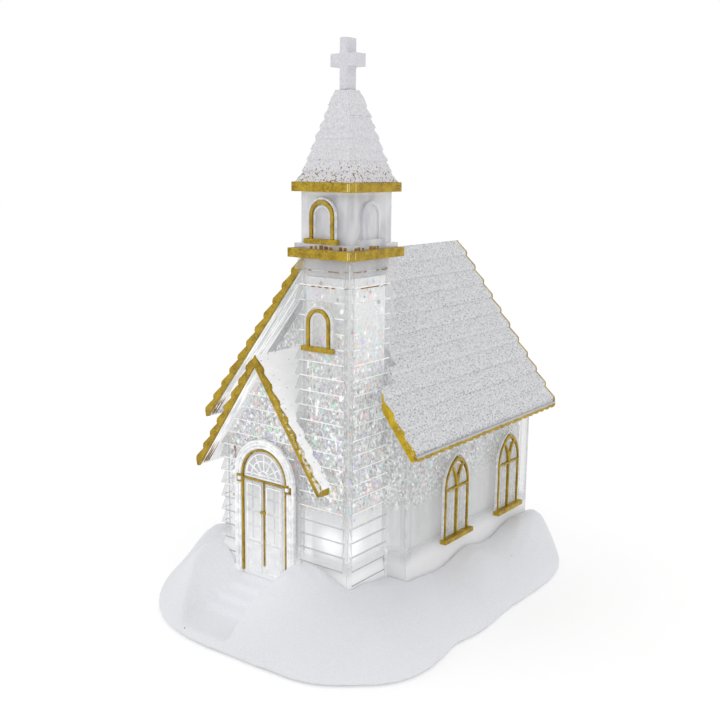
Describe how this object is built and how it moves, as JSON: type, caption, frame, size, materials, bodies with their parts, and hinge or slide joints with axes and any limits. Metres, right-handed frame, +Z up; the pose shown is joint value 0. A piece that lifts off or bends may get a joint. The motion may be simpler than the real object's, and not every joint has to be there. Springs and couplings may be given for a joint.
{
  "type": "light-up church figurine",
  "caption": "Clear light-up church figurine with a square tower and spire, gabled porch and nave, gold mouldings and a snow-drift base with a battery hatch, switch and stirrer",
  "frame": {"origin": "on the table, under the centre of the snow base", "axes": "+Z up to the cross, -Y out of the church door, +X to the right seen from the front, where the tower stands"},
  "size_m": [0.1888, 0.2398, 0.3],
  "materials": {
    "snow": "translucent white plastic with a fine sandy snow texture",
    "roof_snow": "clear shingles frosted over with fine white snow grain",
    "clear": "clear moulded acrylic, polished",
    "frosted": "frosted translucent plastic",
    "gold": "satin antique-gold paint on raised mouldings",
    "white": "white moulded plastic",
    "rubber": "soft off-white rubber",
    "steel": "plain plated steel",
    "board": "green circuit board",
    "cell": "plain grey cell jacket",
    "magnet": "dark sintered magnet",
    "dark": "black plastic"
  },
  "bodies": {
    "church": {"snow_base": "snow", "base_plate": "white", "foot_1": "rubber", "foot_2": "rubber", "foot_3": "rubber", "foot_4": "rubber", "base_screw_1": "steel", "base_screw_2": "steel", "base_screw_3": "steel", "base_screw_4": "steel", "battery_tray": "white", "battery_1": "cell", "battery_2": "cell", "battery_3": "cell", "contact_front": "steel", "contact_back": "steel", "switch_housing": "dark", "inlet_board": "board", "inlet_socket": "steel", "led_board": "board", "led_1": "frosted", "led_2": "frosted", "led_3": "frosted", "motor_bridge": "white", "motor_body": "steel", "tank_gasket": "rubber", "tank_floor": "clear", "filler_plug": "rubber", "impeller_guard": "clear", "nave_walls": "clear", "tower_walls": "clear", "porch_walls": "clear", "nave_roof": "roof_snow", "porch_roof": "roof_snow", "door_leaves": "clear", "door_surround": "clear", "door_trim": "gold", "tower_window_trim": "gold", "tower_plug": "clear", "lower_cornice": "gold", "belfry_walls": "clear", "belfry_window_trim": "gold", "upper_cornice": "gold", "spire": "frosted", "cross": "frosted", "nave_rake_left": "gold", "nave_rake_right": "gold", "nave_rake_back": "gold", "nave_eave_left": "gold", "nave_eave_right": "gold", "porch_rake": "gold", "nave_window_right_1": "gold", "nave_window_left_1": "gold", "nave_window_right_2": "gold", "nave_window_left_2": "gold"},
    "battery_hatch": {"battery_door": "white"},
    "switch": {"switch_knob": "dark"},
    "rotor": {"magnet_carrier": "white", "drive_magnet": "magnet"},
    "stirrer": {"impeller": "white"}
  },
  "joints": [
    {"name": "battery_hatch_hinge", "type": "hinge", "parent": "church", "child": "battery_hatch", "pos_m": [0, 0.03, 0.0035], "axis": [1, 0, 0], "range_deg": [-90, 0]},
    {"name": "switch_slide", "type": "slide", "parent": "church", "child": "switch", "axis": [1, 0, 0], "range_m": [-0.003, 0.003]},
    {"name": "rotor_spin", "type": "hinge", "parent": "church", "child": "rotor", "pos_m": [0, 0, 0.0207], "axis": [0, 0, 1], "continuous": true},
    {"name": "stirrer_spin", "type": "hinge", "parent": "church", "child": "stirrer", "pos_m": [0, 0, 0.035], "axis": [0, 0, 1], "continuous": true}
  ],
  "couplings": [
    {"joint": "stirrer_spin", "follows": "rotor_spin", "ratio": 1}
  ]
}
